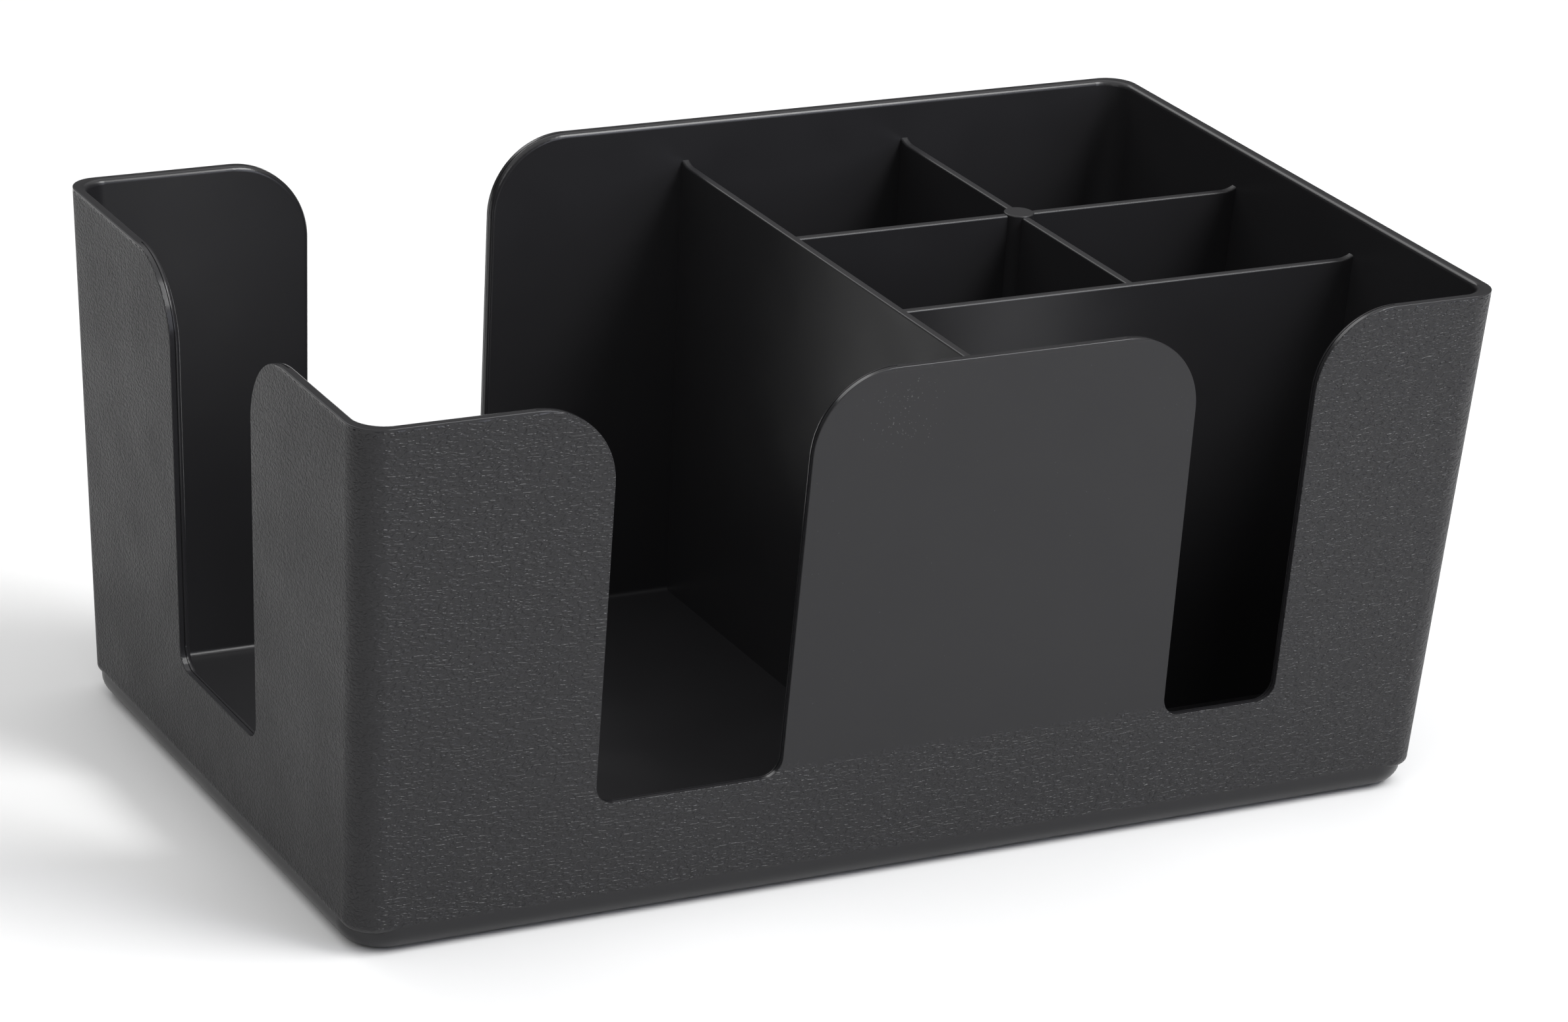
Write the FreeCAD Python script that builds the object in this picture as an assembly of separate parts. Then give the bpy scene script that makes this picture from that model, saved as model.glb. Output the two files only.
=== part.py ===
import FreeCAD, Part
import os

# Desk organizer: an open caddy moulded in black plastic, with one large compartment on the left
# and five smaller ones on the right. Millimetres, +Z up, origin at the bottom centre, front at -Y.

length = 241.3              # outside length at the rim, 9.5 in
width = 147.0               # outside width at the rim
height = 106.0              # rim above the surface that it stands on
draft = 5.1                 # how much further in each wall stands at the bottom than at the rim
wall = 2.3                  # wall thickness
floor_top = 3.6             # inner floor above the surface
outer_corner_r = 6.0        # upright corners outside
inner_corner_r = 5.5        # upright corners inside
base_corner_r = 9.0         # upright corners of the base, which the walls overhang
base_height = 8.0           # the base reaches up behind the walls' lower lip
base_edge_r = 4.5           # round from the base into its sides
lip_z = 4.5                 # lower end of the walls, a lip that overhangs the base at its corners
lip_r = 1.2                 # round under that lip
floor_edge_r = 1.0          # round from the inner floor into the walls
recess_depth = 1.2          # hollow under the floor, so that it stands on a rim
recess_inset = 10.2         # from the outline of the bottom to that hollow
tray_top = 30.0             # the tray ends here and the upright panels stand on it
panel_end = 107.0           # cuts between flat panels and the right end, from the centre
rim_inner_r = 1.0           # rounding of the rim and the slots inside
rim_outer_r = 0.15          # and outside

slot_bottom = 24.5          # lower end of every slot
slot_top_r = 16.5           # round from the rim into a slot
slot_bottom_r = 4.0         # lower corners of a slot
slot_taper = 0.7            # how much narrower a slot is at its lower end, on each side
large_slot_width = 40.2     # slots of the large compartment, across the top
small_slot_width = 26.8     # slot of the long front compartment, across the top
large_slot_x = -49.2        # centre of the front and back slots of the large compartment
small_slot_x = 66.3         # centre of the slot of the long front compartment
end_slot_y = -2.4           # centre of the slot in the left end
seam_depth = 0.2            # fine groove along the middle of every slot's edge
seam_start = 1.0            # from the outer face to the groove
seam_end = 1.25             # and to its inner side

divider_height = 97.1       # tops of the dividers
divider_top = 1.8           # thickness of a divider at its top
divider_foot = 2.6          # thickness of a divider at the floor
divider_edge_r = 0.4        # rounding along the top of a divider
divider_end_r = 6.0         # hollow curve of a divider's top where it runs up to an outer wall
divider_end_run = 3.0       # length of that curve
partition_x = 15.0          # full-depth partition
front_divider_y = -23.9     # long divider behind the front compartment
rear_divider_y = 21.4       # long divider between the rear compartments
cross_divider_x = 66.6      # short divider between the rear compartments
hub_r = 3.15                # round post where the rear dividers cross
hub_rise = 0.3              # the post's top above the dividers

half_length = length / 2
half_width = width / 2
far = 400.0                 # well outside the caddy
arc_middle = 1 - 0.5 ** 0.5     # a quarter arc's middle point, from its corner, per radius


def vec(x, y, z):
    return FreeCAD.Vector(x, y, z)


def box(xs, ys, zs):
    return Part.makeBox(xs[1] - xs[0], ys[1] - ys[0], zs[1] - zs[0], vec(xs[0], ys[0], zs[0]))


def half_sizes(z, inset):
    """Half the length and width at height z of a form that stands inset from the outer walls."""
    lean = draft * (height - z) / height
    return half_length - lean - inset, half_width - lean - inset


def tapered_block(z_low, z_high, inset, corner_r):
    """A block with its sides parallel to the sloping outer walls and its upright corners round."""
    rings = []
    for z in (z_low, z_high):
        x, y = half_sizes(z, inset)
        rings.append([vec(-x, -y, z), vec(x, -y, z), vec(x, y, z), vec(-x, y, z)])
    low, high = rings
    outlines = [low[::-1], high]
    for i in range(4):
        j = (i + 1) % 4
        outlines.append([low[i], low[j], high[j], high[i]])
    faces = [Part.Face(Part.makePolygon(outline + outline[:1])) for outline in outlines]
    block = Part.makeSolid(Part.makeShell(faces))
    upright = [e for e in block.Edges if e.BoundBox.ZLength > (z_high - z_low) / 2]
    return block.makeFillet(corner_r, upright)


def rounded_at(solid, z, radius):
    """The solid with its edges in the level plane z rounded."""
    level = [e for e in solid.Edges if abs(e.BoundBox.ZMin - z) + abs(e.BoundBox.ZMax - z) < 1e-3]
    return solid.makeFillet(radius, level)


def outer_form():
    walls = rounded_at(tapered_block(lip_z, height, 0.0, outer_corner_r), lip_z, lip_r)
    base = rounded_at(tapered_block(0.0, base_height, 0.0, base_corner_r), 0.0, base_edge_r)
    return walls.fuse(base).removeSplitter()


def cavity_form():
    cavity = tapered_block(floor_top, height + 10.0, wall, inner_corner_r)
    return rounded_at(cavity, floor_top, floor_edge_r)


def slot_outline(centre, slot_width, grow, place):
    """A slot's closed outline as a face, pushed outwards by grow.

    place(u, z) puts a point on the plane of the wall.
    """
    top = slot_width / 2 + grow
    low = top - slot_taper
    rim = height - grow
    bottom = slot_bottom - grow
    top_r = slot_top_r - grow
    bottom_r = slot_bottom_r + grow
    top_bend = top_r * arc_middle
    bottom_bend = bottom_r * arc_middle
    flank = [
        (top + top_r, height + 5.0),
        (top + top_r, rim),
        (top + top_bend, rim - top_bend),
        (top, rim - top_r),
        (low, bottom + bottom_r),
        (low - bottom_bend, bottom + bottom_bend),
        (low - bottom_r, bottom),
    ]
    edges = []
    for side in (-1, 1):
        p = [place(centre + side * u, z) for u, z in flank]
        edges += [Part.makeLine(p[0], p[1]), Part.Arc(p[1], p[2], p[3]).toShape(),
                  Part.makeLine(p[3], p[4]), Part.Arc(p[4], p[5], p[6]).toShape()]
    for u, z in (flank[0], flank[-1]):
        edges.append(Part.makeLine(place(centre - u, z), place(centre + u, z)))
    return Part.Face(Part.Wire(Part.sortEdges(edges)[0]))


def slots(grow=0.0):
    """The cutters for the four slots, each right through its wall and larger all round by grow."""
    reach = 20.0
    cutters = []
    for centre, slot_width, side in ((large_slot_x, large_slot_width, -1),
                                     (small_slot_x, small_slot_width, -1),
                                     (large_slot_x, large_slot_width, 1)):
        y = side * (half_width + 2.0)
        face = slot_outline(centre, slot_width, grow, lambda u, z, y=y: vec(u, y, z))
        cutters.append(face.extrude(vec(0, -side * reach, 0)))
    x = -half_length - 2.0
    face = slot_outline(end_slot_y, large_slot_width, grow, lambda u, z: vec(x, u, z))
    cutters.append(face.extrude(vec(reach, 0, 0)))
    return cutters


def is_outside(point):
    """True for a point on the outer face of the walls, false for one on the inner face."""
    x, y = half_sizes(point.z, 0.0)
    return min(x - abs(point.x), y - abs(point.y)) < 2.0


def rim_edges(shell, cutters, outside):
    """The edges along the rim and around the slots, on one face of the walls."""
    found = []
    for edge in shell.Edges:
        first, last = edge.ParameterRange
        points = [edge.valueAt(first + (last - first) * t) for t in (0.0, 0.5, 1.0)]
        if any(is_outside(p) != outside for p in points):
            continue
        on_rim = all(abs(p.z - height) < 1e-3 for p in points)
        if on_rim or any(all(c.isInside(p, 1e-3, True) for p in points) for c in cutters):
            found.append(edge)
    return found


def seams():
    """The cutter for the fine groove that runs around each slot within the wall's thickness."""
    outer = tapered_block(lip_z, height + 10.0, seam_start, outer_corner_r)
    inner = tapered_block(floor_top, height + 11.0, seam_end, outer_corner_r)
    return Part.makeCompound(slots(seam_depth)).common(outer.cut(inner))


def whole_shell(cavity):
    """The floor and the outer walls in one piece, with the slots and all the roundings."""
    recess = tapered_block(-1.0, recess_depth, recess_inset, inner_corner_r)
    cutters = slots()
    shell = outer_form().cut(cavity).cut(recess).cut(Part.makeCompound(cutters))
    for outside, radius in ((False, rim_inner_r), (True, rim_outer_r)):
        shell = shell.makeFillet(radius, rim_edges(shell, cutters, outside))
    return shell.cut(seams())


def shell_pieces(shell):
    """The shell cut through its flat stretches and its slots into a tray and upright panels."""
    everywhere = (-far, far)
    above = (tray_top, height + 1.0)
    front = (-far, 0.0)
    back = (0.0, far)
    regions = {
        "base_tray": (everywhere, everywhere, (-1.0, tray_top)),
        "front_left_corner": ((-far, large_slot_x), (-far, end_slot_y), above),
        "rear_left_corner": ((-far, large_slot_x), (end_slot_y, far), above),
        "front_centre_panel": ((large_slot_x, small_slot_x), front, above),
        "front_right_panel": ((small_slot_x, panel_end), front, above),
        "right_end_wall": ((panel_end, far), everywhere, above),
        "back_wall": ((large_slot_x, panel_end), back, above),
    }
    return {name: shell.common(box(*region)) for name, region in regions.items()}


def divider(start, end, start_wall=False, end_wall=False):
    """A divider along X with its middle at Y = 0, thinner at the top, with rounded top edges.

    At an outer wall its top curves up and it runs on through the wall, to be trimmed later.
    """
    run = divider_end_run
    top, foot, past = divider_height, floor_top - 1.0, 6.0
    rise, half_rise = (divider_end_r - (divider_end_r ** 2 - u ** 2) ** 0.5 for u in (run, run / 2))
    x_low = start - past if start_wall else start
    x_high = end + past if end_wall else end
    top_low, top_high = vec(start, 0, top), vec(end, 0, top)
    edges = [Part.makeLine(vec(x_high, 0, foot), vec(x_low, 0, foot))]
    if start_wall:
        top_low = vec(start + run, 0, top)
        peak = vec(start, 0, top + rise)
        middle = vec(start + run / 2, 0, top + half_rise)
        edges += [Part.makeLine(vec(x_low, 0, foot), vec(x_low, 0, top + rise)),
                  Part.makeLine(vec(x_low, 0, top + rise), peak),
                  Part.Arc(peak, middle, top_low).toShape()]
    else:
        edges.append(Part.makeLine(vec(x_low, 0, foot), top_low))
    if end_wall:
        top_high = vec(end - run, 0, top)
        peak = vec(end, 0, top + rise)
        middle = vec(end - run / 2, 0, top + half_rise)
        edges += [Part.Arc(top_high, middle, peak).toShape(),
                  Part.makeLine(peak, vec(x_high, 0, top + rise)),
                  Part.makeLine(vec(x_high, 0, top + rise), vec(x_high, 0, foot))]
    else:
        edges.append(Part.makeLine(top_high, vec(x_high, 0, foot)))
    edges.append(Part.makeLine(top_low, top_high))
    side_view = Part.Face(Part.Wire(Part.sortEdges(edges)[0]))
    side_view.translate(vec(0, -divider_foot, 0))
    slab = side_view.extrude(vec(0, 2 * divider_foot, 0))
    slope = (divider_foot - divider_top) / 2 / (divider_height - floor_top)
    y_low = divider_foot / 2 + slope * floor_top
    y_high = divider_top / 2 - slope * (height - divider_height)
    section = [vec(x_low - 1, -y_low, 0), vec(x_low - 1, y_low, 0),
               vec(x_low - 1, y_high, height), vec(x_low - 1, -y_high, height)]
    plate = Part.Face(Part.makePolygon(section + section[:1]))
    rib = slab.common(plate.extrude(vec(x_high - x_low + 2, 0, 0)))
    upper = [e for e in rib.Edges
             if e.BoundBox.ZMin > top - 0.01 and e.BoundBox.XLength > 0.5 and e.BoundBox.YLength < 0.5
             and e.BoundBox.XMin > start - 0.01 and e.BoundBox.XMax < end + 0.01]
    return rib.makeFillet(divider_edge_r, upper)


def across(rib, x):
    """The divider turned to run along Y, with its middle at x."""
    rib.rotate(vec(0, 0, 0), vec(0, 0, 1), 90)
    rib.translate(vec(x, 0, 0))
    return rib


def along(rib, y):
    rib.translate(vec(0, y, 0))
    return rib


def hub():
    post = Part.makeCylinder(hub_r, divider_height + hub_rise, vec(cross_divider_x, rear_divider_y, 0))
    return rounded_at(post, divider_height + hub_rise, hub_rise)


def inner_pieces(cavity):
    """The partition, the dividers and the post, each trimmed to the ones that it meets."""
    x_end, y_end = half_sizes(divider_height, wall)
    partition = across(divider(-y_end, y_end, True, True), partition_x)
    long_front = along(divider(partition_x, x_end, end_wall=True), front_divider_y)
    ribs = {
        "rear_divider_left": along(divider(partition_x, cross_divider_x), rear_divider_y),
        "rear_divider_right": along(divider(cross_divider_x, x_end, end_wall=True), rear_divider_y),
        "cross_divider_front": across(divider(front_divider_y, rear_divider_y), cross_divider_x),
        "cross_divider_rear": across(divider(rear_divider_y, y_end, end_wall=True), cross_divider_x),
    }
    post = hub()
    pieces = {
        "partition_wall": partition.common(cavity),
        "front_divider": long_front.cut(partition).common(cavity),
        "divider_hub": post.common(cavity),
    }
    for name, rib in ribs.items():
        pieces[name] = rib.cut(partition).cut(long_front).cut(post).common(cavity)
    return pieces


cavity = cavity_form()
pieces = shell_pieces(whole_shell(cavity))
pieces.update(inner_pieces(cavity))

os.makedirs("parts", exist_ok=True)
for name, shape in pieces.items():
    solids = shape.Solids
    if len(solids) != 1 or not solids[0].isValid():
        raise RuntimeError(f"{name}: {len(solids)} solids, valid {shape.isValid()}")
    solids[0].exportStep(f"parts/{name}.step")
    print(name, round(solids[0].Volume / 1000, 2), "cm3")
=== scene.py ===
import bpy
import math
from mathutils import Matrix, Vector


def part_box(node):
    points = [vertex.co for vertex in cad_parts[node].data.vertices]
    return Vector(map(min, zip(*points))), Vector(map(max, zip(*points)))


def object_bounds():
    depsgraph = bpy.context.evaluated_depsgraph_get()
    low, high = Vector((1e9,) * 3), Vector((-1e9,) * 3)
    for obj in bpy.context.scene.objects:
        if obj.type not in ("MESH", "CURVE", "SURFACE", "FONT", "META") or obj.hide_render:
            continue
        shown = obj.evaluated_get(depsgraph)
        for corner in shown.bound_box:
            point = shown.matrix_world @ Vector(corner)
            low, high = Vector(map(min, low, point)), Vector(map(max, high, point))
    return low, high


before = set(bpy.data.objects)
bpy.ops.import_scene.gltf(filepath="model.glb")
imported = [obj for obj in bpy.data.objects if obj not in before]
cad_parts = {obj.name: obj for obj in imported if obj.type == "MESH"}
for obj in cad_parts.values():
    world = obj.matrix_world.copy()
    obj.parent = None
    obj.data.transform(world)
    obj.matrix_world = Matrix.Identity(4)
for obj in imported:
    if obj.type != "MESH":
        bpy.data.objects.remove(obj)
bpy.ops.object.select_all(action="DESELECT")
cadBox = [list(corner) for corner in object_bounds()]
print("frame loaded:", len(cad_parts), "nodes")

# the moulding's shape, worked out from the frame
highCorner = Vector(cadBox[1])
shell = {
    "halfLength": highCorner.x,
    "halfWidth": highCorner.y,
    "height": highCorner.z,
    "lean": 0.0051,              # how far a wall leans in from the rim to the bottom
    "cornerRadius": 0.006,
    "wall": 0.0023,
}
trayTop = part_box("base_tray")[1].z
tongueLow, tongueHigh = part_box("front_centre_panel")


# shorthand for material nodes
def newMaterial(name):
    material = bpy.data.materials.new(name)
    material.use_nodes = True
    tree = material.node_tree
    tree.nodes.clear()
    output = tree.nodes.new("ShaderNodeOutputMaterial")
    shader = tree.nodes.new("ShaderNodeBsdfPrincipled")
    tree.links.new(shader.outputs[0], output.inputs[0])
    return material, tree, shader


def feed(tree, socket, value):
    if isinstance(value, bpy.types.NodeSocket):
        tree.links.new(value, socket)
    else:
        socket.default_value = value


def calc(tree, operation, a, b=0.0, c=0.0, clamp=False):
    node = tree.nodes.new("ShaderNodeMath")
    node.operation = operation
    node.use_clamp = clamp
    for socket, value in zip(node.inputs, (a, b, c)):
        feed(tree, socket, value)
    return node.outputs[0]


def both(tree, *masks):
    # 1 only where every mask is 1
    product = masks[0]
    for mask in masks[1:]:
        product = calc(tree, "MULTIPLY", product, mask)
    return product


def distance(tree, across, up):
    squares = [calc(tree, "POWER", part, 2.0) for part in (across, up)]
    return calc(tree, "SQRT", calc(tree, "ADD", *squares))


def ramp(tree, value, start, end, low=0.0, high=1.0):
    # low below start, high above end, smooth between
    node = tree.nodes.new("ShaderNodeMapRange")
    node.interpolation_type = "SMOOTHSTEP"
    for socket, item in zip(node.inputs, (value, start, end, low, high)):
        feed(tree, socket, item)
    return node.outputs[0]


def noise(tree, place, scale, detail):
    node = tree.nodes.new("ShaderNodeTexNoise")
    node.inputs["Scale"].default_value = scale
    node.inputs["Detail"].default_value = detail
    tree.links.new(place, node.inputs["Vector"])
    return node


def bump(tree, height, distance, under=None):
    node = tree.nodes.new("ShaderNodeBump")
    node.inputs["Strength"].default_value = 1.0
    node.inputs["Distance"].default_value = distance
    tree.links.new(height, node.inputs["Height"])
    if under:
        tree.links.new(under, node.inputs["Normal"])
    return node.outputs[0]


def placeOf(tree):
    # the point on the piece, as a vector and as x, y and z, in metres
    place = tree.nodes.new("ShaderNodeTexCoord").outputs["Object"]
    split = tree.nodes.new("ShaderNodeSeparateXYZ")
    tree.links.new(place, split.inputs[0])
    return place, *split.outputs


def leanAt(tree, z):
    # how much further in the walls stand here than at the rim
    below = calc(tree, "SUBTRACT", shell["height"], z)
    return calc(tree, "MULTIPLY", below, shell["lean"] / shell["height"])


def skinDepth(tree, x, y, z):
    # 0 on the walls' outer face, and minus the wall's thickness on their inner face
    lean = leanAt(tree, z)
    beyond = []
    for coordinate, half in ((x, shell["halfLength"]), (y, shell["halfWidth"])):
        reach = calc(tree, "ADD", calc(tree, "ABSOLUTE", coordinate), lean)
        reach = calc(tree, "SUBTRACT", reach, half - shell["cornerRadius"])
        beyond.append(calc(tree, "MAXIMUM", reach, 0.0))
    return calc(tree, "SUBTRACT", distance(tree, *beyond), shell["cornerRadius"])


# black plastic
finish = {
    "colour": (0.0148, 0.0145, 0.0157, 1),
    "ior": 1.37,
    "grainRoughness": 0.31,
    "endRoughness": 0.48,        # the grain is duller on both ends
    "smoothRoughness": 0.33,     # inside
    "tongueRoughness": 0.44,     # the smooth panel between the front slots
    "rimRoughness": 0.24,
    "edgeRoughness": 0.19,       # the glossy edges of the slots
    "swing": 0.025,              # how much the roughness varies from place to place
    "swingsPerMetre": 60,
}
zones = {
    # depths in the wall, 0 at its outer face
    "skin": (-0.00022, -0.00010),
    "innerSkin": (-shell["wall"], 0.0001 - shell["wall"]),
    "flatRim": (-0.0016, -0.0014),
    # heights above the floor
    "base": (0.0052, 0.0061),                # smooth below, grained above
    "slots": (0.020, 0.022),
    "grainTop": (shell["height"] - 0.0008, shell["height"] - 0.0003),
    "rim": (shell["height"] - 0.0010, shell["height"] - 0.0005),
    "tongue": (trayTop - 0.0048, trayTop - 0.0026),
}
tongueBorder = {
    "softness": 0.002,
    "raggedness": 0.0006,        # how far its lower border strays up and down
    "raggedPerMetre": 700,
}
grain = {
    "wrinklesPerMetre": (680, 1400, 1800),   # long along the walls, short upwards
    "wrinkleRise": (0.44, 0.60),             # the noise's range that makes a wrinkle's sides
    "wrinkleHeight": 0.000135,
    "pebblesPerMetre": (1100, 1100, 1900),
    "pebbleRise": (0.35, 0.65),
    "pebbleHeight": 0.00004,
    "waver": 0.0005,             # how far both are pushed out of line
    "waversPerMetre": 450,
}
scuffs = {                       # on the smooth panel, near its upper left corner
    "fromLeft": 0.019,
    "belowRim": 0.009,
    "reach": 0.016,
    "crowding": 0.12,            # how much denser the specks are in the middle
    "specksPerMetre": 2300,
    "speckRise": (0.78, 0.84),
    "colour": (0.060, 0.060, 0.062, 1),
}
waves = {"perMetre": 35, "height": 0.0002}   # in the dividers' faces


def vectorMath(tree, operation, a, b, c=None):
    node = tree.nodes.new("ShaderNodeVectorMath")
    node.operation = operation
    tree.links.new(a, node.inputs[0])
    node.inputs[1].default_value = b
    if c:
        tree.links.new(c, node.inputs[2])
    return node.outputs[0]


def leatherGrain(tree, place):
    # short raised wrinkles along the walls, and finer pebbles between them, both 0 to 1
    push = noise(tree, place, grain["waversPerMetre"], 0).outputs["Color"]
    pushed = vectorMath(tree, "MULTIPLY_ADD", push, (grain["waver"],) * 3, place)
    heights = []
    for perMetre, rise in (("wrinklesPerMetre", "wrinkleRise"), ("pebblesPerMetre", "pebbleRise")):
        stretched = vectorMath(tree, "MULTIPLY", pushed, grain[perMetre])
        heights.append(ramp(tree, noise(tree, stretched, 1.0, 1).outputs[0], *grain[rise]))
    return heights


def tongueMask(tree, place, x, y, z):
    # the smooth panel in the front wall, down to a ragged line just under the slots
    ragged = noise(tree, place, tongueBorder["raggedPerMetre"], 1).outputs[0]
    stray = tongueBorder["raggedness"]
    line = calc(tree, "ADD", z, ramp(tree, ragged, 0.3, 0.7, -stray, stray))
    soft = tongueBorder["softness"]
    middle = (tongueLow.x + tongueHigh.x) / 2
    half = (tongueHigh.x - tongueLow.x) / 2
    aside = calc(tree, "ABSOLUTE", calc(tree, "SUBTRACT", x, middle))
    return both(tree, ramp(tree, y, -soft, soft, 1.0, 0.0), ramp(tree, line, *zones["tongue"]),
                ramp(tree, aside, half, half + soft, 1.0, 0.0))


def scuffMask(tree, place, x, z):
    # a few tiny light specks, closest together in one patch
    across = calc(tree, "SUBTRACT", x, tongueLow.x + scuffs["fromLeft"])
    up = calc(tree, "SUBTRACT", z, shell["height"] - scuffs["belowRim"])
    patch = ramp(tree, distance(tree, across, up), 0.0, scuffs["reach"], scuffs["crowding"], 0.0)
    specks = noise(tree, place, scuffs["specksPerMetre"], 1).outputs[0]
    return ramp(tree, calc(tree, "ADD", specks, patch), *scuffs["speckRise"])


def unevenness(tree, place, low, high):
    # low to high, wandering slowly over the surface
    return ramp(tree, noise(tree, place, finish["swingsPerMetre"], 1).outputs[0], 0.3, 0.7, low, high)


def wallPlastic():
    # leather grain on the outer faces, glossy slot edges and rim, satin inside
    material, tree, shader = newMaterial("blackPlasticWalls")
    place, x, y, z = placeOf(tree)
    depth = skinDepth(tree, x, y, z)
    outer = ramp(tree, depth, *zones["skin"])
    notOuter = ramp(tree, depth, *zones["skin"], 1.0, 0.0)
    tongue = tongueMask(tree, place, x, y, z)
    grained = both(tree, outer, ramp(tree, z, *zones["base"]),
                   ramp(tree, z, *zones["grainTop"], 1.0, 0.0), calc(tree, "SUBTRACT", 1.0, tongue))
    smoothOuter = both(tree, outer, tongue)
    sideways = calc(tree, "ADD", calc(tree, "ABSOLUTE", x), leanAt(tree, z))
    grainedEnds = both(tree, grained, ramp(tree, sideways, shell["halfLength"] - shell["cornerRadius"],
                                           shell["halfLength"] - 0.0015))
    rim = both(tree, ramp(tree, depth, *zones["flatRim"]), ramp(tree, z, *zones["rim"]))
    inWall = both(tree, ramp(tree, depth, *zones["innerSkin"]), notOuter, ramp(tree, z, *zones["slots"]))
    edge = calc(tree, "SUBTRACT", inWall, rim, clamp=True)

    rough = finish["smoothRoughness"]
    for mask, key in ((grained, "grainRoughness"), (grainedEnds, "endRoughness"),
                      (smoothOuter, "tongueRoughness"), (rim, "rimRoughness"), (edge, "edgeRoughness")):
        step = calc(tree, "MULTIPLY", mask, calc(tree, "SUBTRACT", finish[key], rough))
        rough = calc(tree, "ADD", rough, step)
    rough = calc(tree, "ADD", rough, unevenness(tree, place, -finish["swing"], finish["swing"]))
    tree.links.new(rough, shader.inputs["Roughness"])

    scuffed = tree.nodes.new("ShaderNodeMix")
    scuffed.data_type = "RGBA"
    factor, plain, scuff = (scuffed.inputs[index] for index in (0, 6, 7))
    feed(tree, factor, both(tree, smoothOuter, scuffMask(tree, place, x, z)))
    feed(tree, plain, finish["colour"])
    feed(tree, scuff, scuffs["colour"])
    tree.links.new(scuffed.outputs[2], shader.inputs["Base Color"])

    wrinkles, pebbles = leatherGrain(tree, place)
    normal = bump(tree, both(tree, wrinkles, grained), grain["wrinkleHeight"])
    normal = bump(tree, both(tree, pebbles, grained), grain["pebbleHeight"], normal)
    tree.links.new(normal, shader.inputs["Normal"])
    shader.inputs["IOR"].default_value = finish["ior"]
    return material


def dividerPlastic():
    # the same plastic, smooth and a little wavy from the mould
    material, tree, shader = newMaterial("blackPlasticDividers")
    place = placeOf(tree)[0]
    smooth = finish["smoothRoughness"]
    rough = unevenness(tree, place, smooth - finish["swing"], smooth + finish["swing"])
    tree.links.new(rough, shader.inputs["Roughness"])
    wavy = noise(tree, place, waves["perMetre"], 1).outputs[0]
    tree.links.new(bump(tree, wavy, waves["height"]), shader.inputs["Normal"])
    shader.inputs["Base Color"].default_value = finish["colour"]
    shader.inputs["IOR"].default_value = finish["ior"]
    return material


walls = wallPlastic()
dividers = dividerPlastic()
innerNodes = ("divider", "partition")
for name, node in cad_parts.items():
    for slot in node.material_slots:
        slot.material = dividers if any(word in name for word in innerNodes) else walls
print("plastic ready")

# floor, light and camera
studio = {
    "floorSize": 9.0,
    "floorBelow": 0.0002,
    "floorColour": (0.72, 0.72, 0.72, 1),
    "floorRoughness": 0.9,
    "horizon": 0.12,             # the walls of the studio are dimmer than its ceiling
    "ceiling": 1.35,
    "fade": (0.32, 0.85),        # heights in the sky, 0 at the horizon and 1 overhead
}
white = (1, 1, 1)
upright = (0, 0, 1)
softboxes = {
    "topBox": {"place": (0.63, -0.67, 1.17), "aim": (0, 0, 0.09), "size": (0.42, 0.9),
               "watts": 17, "along": (0, 0.87, 0.5), "colour": white},
    "frontBox": {"place": (0.75, -1.45, 0.62), "aim": (0, 0, 0.05), "size": (0.4, 0.8),
                 "watts": 6.5, "along": (0, 0.3, 1), "colour": (0.85, 0.88, 1.0)},
    "leftBox": {"place": (-1.3, -0.9, 1.0), "aim": (-0.1, 0, 0), "size": (0.9, 0.7),
                "watts": 4, "along": upright, "colour": white},
    "rearBox": {"place": (-0.3, 1.6, 1.3), "aim": (0, 0.5, 0), "size": (1.2, 0.8),
                "watts": 7, "along": upright, "colour": white},
}
view = {
    "place": (-0.4974, -0.9264, 0.4611),
    "yaw": 0.4922,
    "pitch": 0.3740,
    "roll": 0.0607,
    "lens": 130.32,
    "sensor": 36,
    "shift": (0.0156, -0.0006),
}


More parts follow.
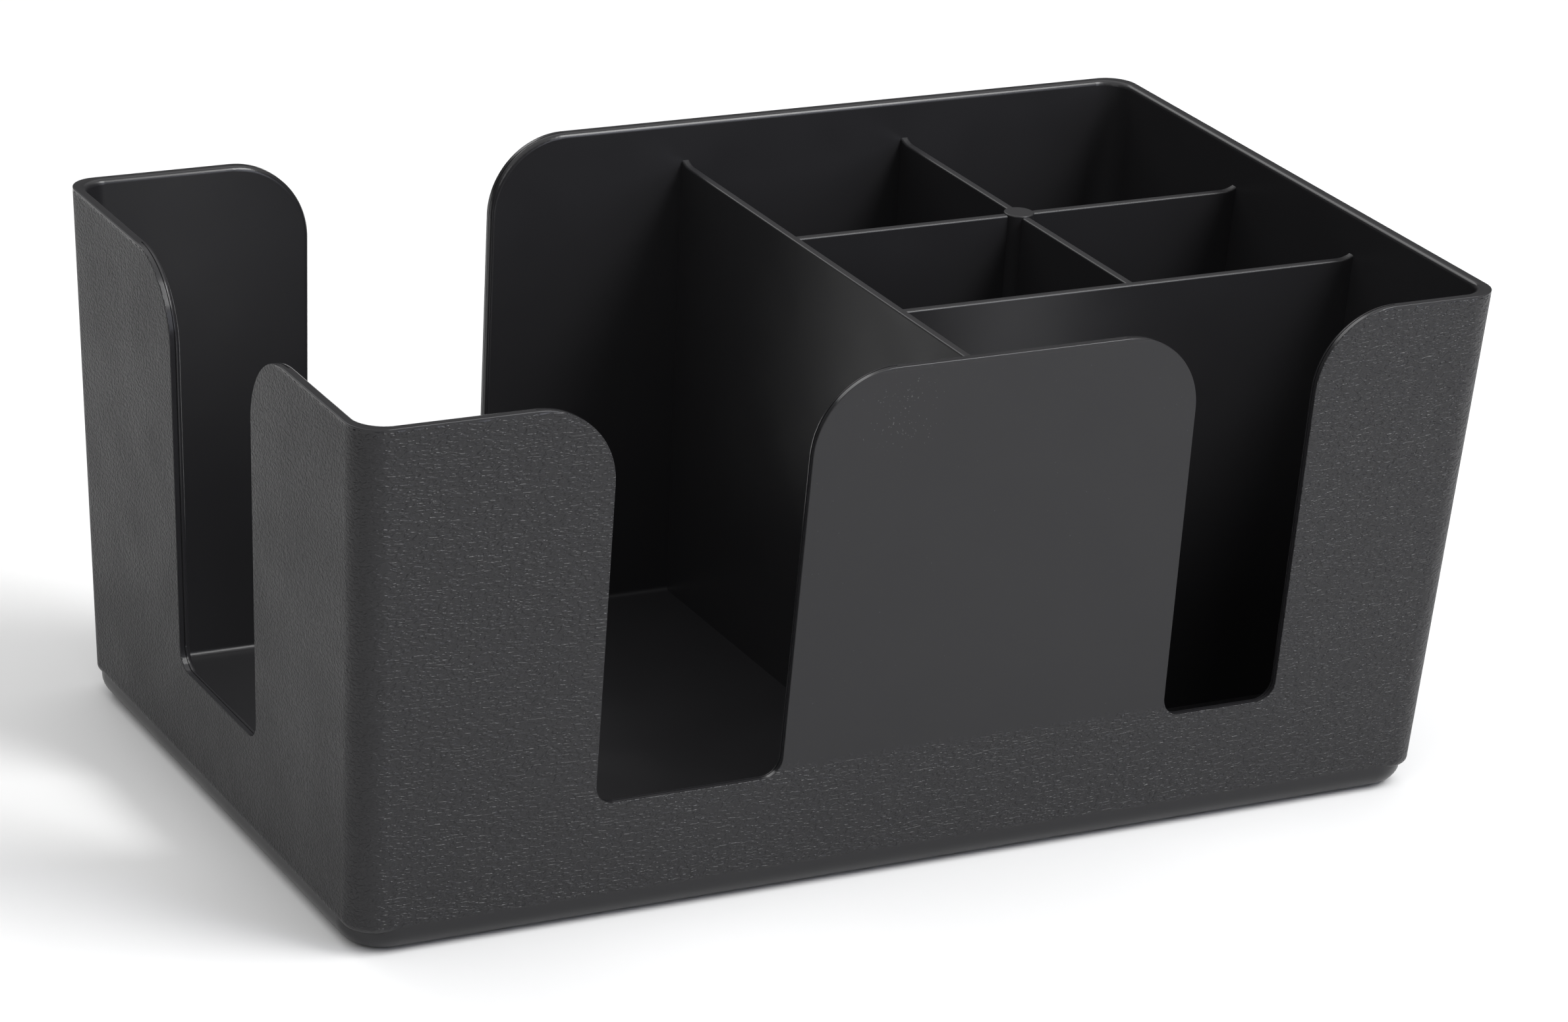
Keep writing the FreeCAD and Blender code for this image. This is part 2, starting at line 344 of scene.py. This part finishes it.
def makeFloor():
    bpy.ops.mesh.primitive_plane_add(size=studio["floorSize"], location=(0, 0, -studio["floorBelow"]))
    floor = bpy.context.object
    floor.name = "studioFloor"
    material, tree, shader = newMaterial("studioFloor")
    shader.inputs["Base Color"].default_value = studio["floorColour"]
    shader.inputs["Roughness"].default_value = studio["floorRoughness"]
    floor.data.materials.append(material)


def makeWorld():
    world = bpy.data.worlds.new("studioWorld")
    world.use_nodes = True
    tree = world.node_tree
    background = tree.nodes["Background"]
    split = tree.nodes.new("ShaderNodeSeparateXYZ")
    tree.links.new(tree.nodes.new("ShaderNodeTexCoord").outputs["Generated"], split.inputs[0])
    strength = ramp(tree, split.outputs[2], *studio["fade"], studio["horizon"], studio["ceiling"])
    tree.links.new(strength, background.inputs["Strength"])
    background.inputs["Color"].default_value = (*white, 1)
    bpy.context.scene.world = world


def softbox(name, place, aim, size, watts, along, colour):
    # size is (across, along), and along is the direction of the second
    light = bpy.data.lights.new(name, "AREA")
    light.shape = "RECTANGLE"
    light.size, light.size_y = size
    light.energy = watts
    light.color = colour
    back = (Vector(place) - Vector(aim)).normalized()
    side = Vector(along).cross(back).normalized()
    box = bpy.data.objects.new(name, light)
    bpy.context.scene.collection.objects.link(box)
    box.location = place
    box.rotation_euler = Matrix((side, back.cross(side), back)).transposed().to_euler()


def makeCamera():
    # looks down at the caddy from the front left, turned slightly about its own line of sight
    data = bpy.data.cameras.new("camera")
    data.lens = view["lens"]
    data.sensor_width = view["sensor"]
    data.shift_x, data.shift_y = view["shift"]
    camera = bpy.data.objects.new("camera", data)
    bpy.context.scene.collection.objects.link(camera)
    camera.location = view["place"]
    turn = Matrix.Rotation(-view["yaw"], 3, "Z")
    turn = turn @ Matrix.Rotation(math.pi / 2 - view["pitch"], 3, "X")
    camera.rotation_euler = (turn @ Matrix.Rotation(view["roll"], 3, "Z")).to_euler()
    bpy.context.scene.camera = camera


makeFloor()
makeWorld()
for name, box in softboxes.items():
    softbox(name, **box)
makeCamera()
bpy.context.scene.view_settings.view_transform = "Standard"
print("studio ready")
